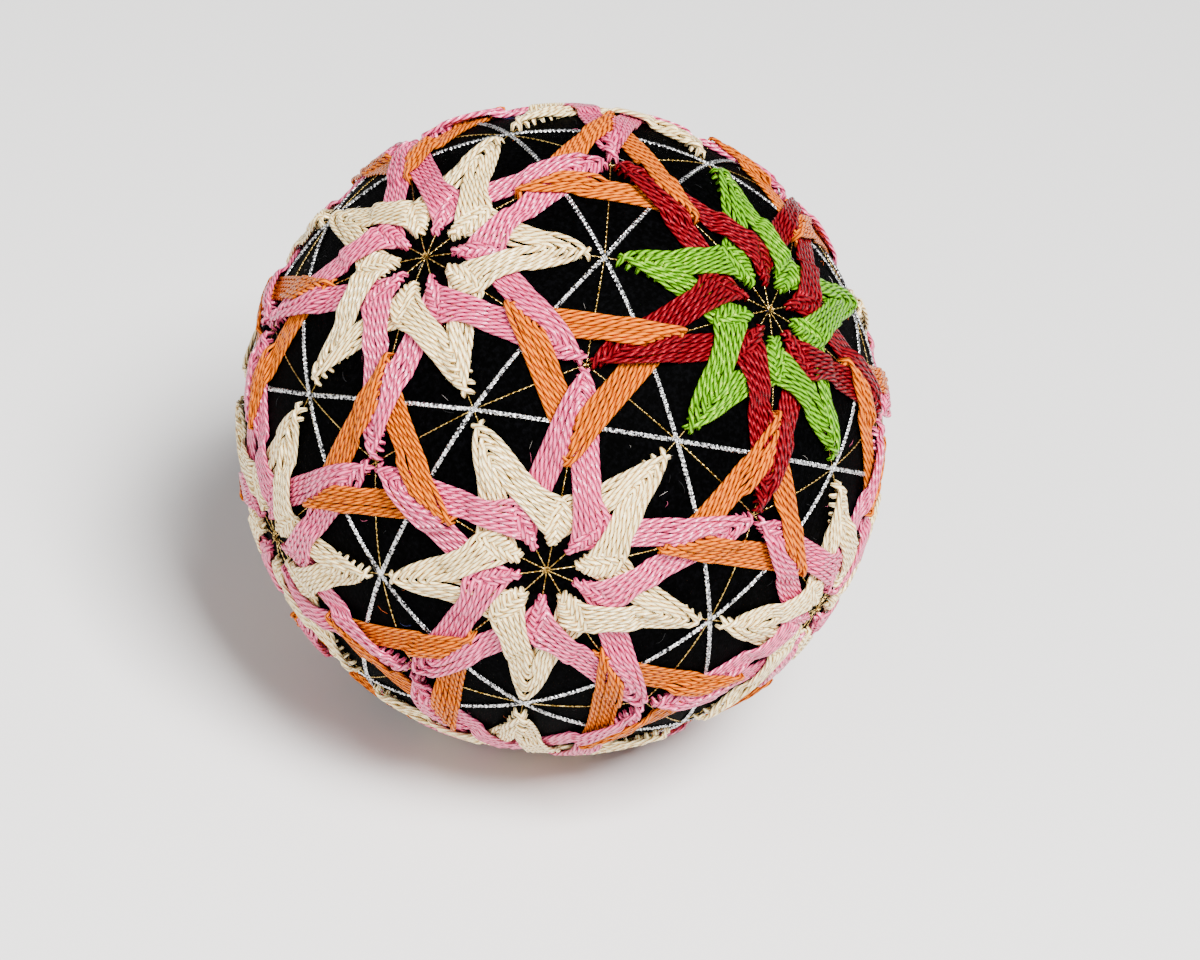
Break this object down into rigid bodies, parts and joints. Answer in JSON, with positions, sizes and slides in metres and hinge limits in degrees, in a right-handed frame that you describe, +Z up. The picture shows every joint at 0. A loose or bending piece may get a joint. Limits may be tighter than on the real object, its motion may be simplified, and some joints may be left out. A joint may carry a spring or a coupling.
{
  "type": "temari ball",
  "caption": "Hand-stitched thread ball with woven cotton stars and triangles over silver marking threads, resting on a small flat spot.",
  "frame": {"origin": "on the floor under the middle of the ball, at the middle of its flat spot", "axes": "+Z up through the ball's centre along a three-fold axis of its pattern; -Y towards the viewer of the picture; +X to the viewer's right"},
  "size_m": [0.1019, 0.1036, 0.1023],
  "materials": {
    "black_thread": "wound thread, matt and slightly fuzzy",
    "metallic_thread": "metallised braided thread, bright",
    "cream_cotton": "mercerised two-ply cotton, soft sheen",
    "pink_cotton": "mercerised two-ply cotton, soft sheen",
    "green_cotton": "mercerised two-ply cotton, soft sheen",
    "red_cotton": "mercerised two-ply cotton, soft sheen",
    "orange_cotton": "mercerised two-ply cotton, soft sheen"
  },
  "bodies": {
    "root": {"ball": "black_thread", "silver_threads": "metallic_thread", "cream_star_A": "cream_cotton", "cream_star_B": "cream_cotton", "cream_star_D": "cream_cotton", "cream_star_E": "cream_cotton", "cream_star_F": "cream_cotton", "cream_star_G": "cream_cotton", "cream_star_H": "cream_cotton", "cream_star_I": "cream_cotton", "cream_star_J": "cream_cotton", "cream_star_K": "cream_cotton", "cream_star_L": "cream_cotton", "green_star_C": "green_cotton", "red_star_C": "red_cotton", "pink_star_A": "pink_cotton", "pink_star_B": "pink_cotton", "pink_star_D": "pink_cotton", "pink_star_E": "pink_cotton", "pink_star_F": "pink_cotton", "pink_star_G": "pink_cotton", "pink_star_H": "pink_cotton", "pink_star_I": "pink_cotton", "pink_star_J": "pink_cotton", "pink_star_K": "pink_cotton", "pink_star_L": "pink_cotton", "orange_triangle_ABC": "orange_cotton", "orange_triangle_ABE": "orange_cotton", "orange_triangle_ACF": "orange_cotton", "orange_triangle_AEH": "orange_cotton", "orange_triangle_AFH": "orange_cotton", "orange_triangle_BCD": "orange_cotton", "orange_triangle_BDG": "orange_cotton", "orange_triangle_BEG": "orange_cotton", "orange_triangle_CDI": "orange_cotton", "orange_triangle_CFI": "orange_cotton", "orange_triangle_DGJ": "orange_cotton", "orange_triangle_DIJ": "orange_cotton", "orange_triangle_EGL": "orange_cotton", "orange_triangle_EHL": "orange_cotton", "orange_triangle_FHK": "orange_cotton", "orange_triangle_FIK": "orange_cotton", "orange_triangle_GJL": "orange_cotton", "orange_triangle_HKL": "orange_cotton", "orange_triangle_IJK": "orange_cotton", "orange_triangle_JKL": "orange_cotton"}
  },
  "joints": []
}
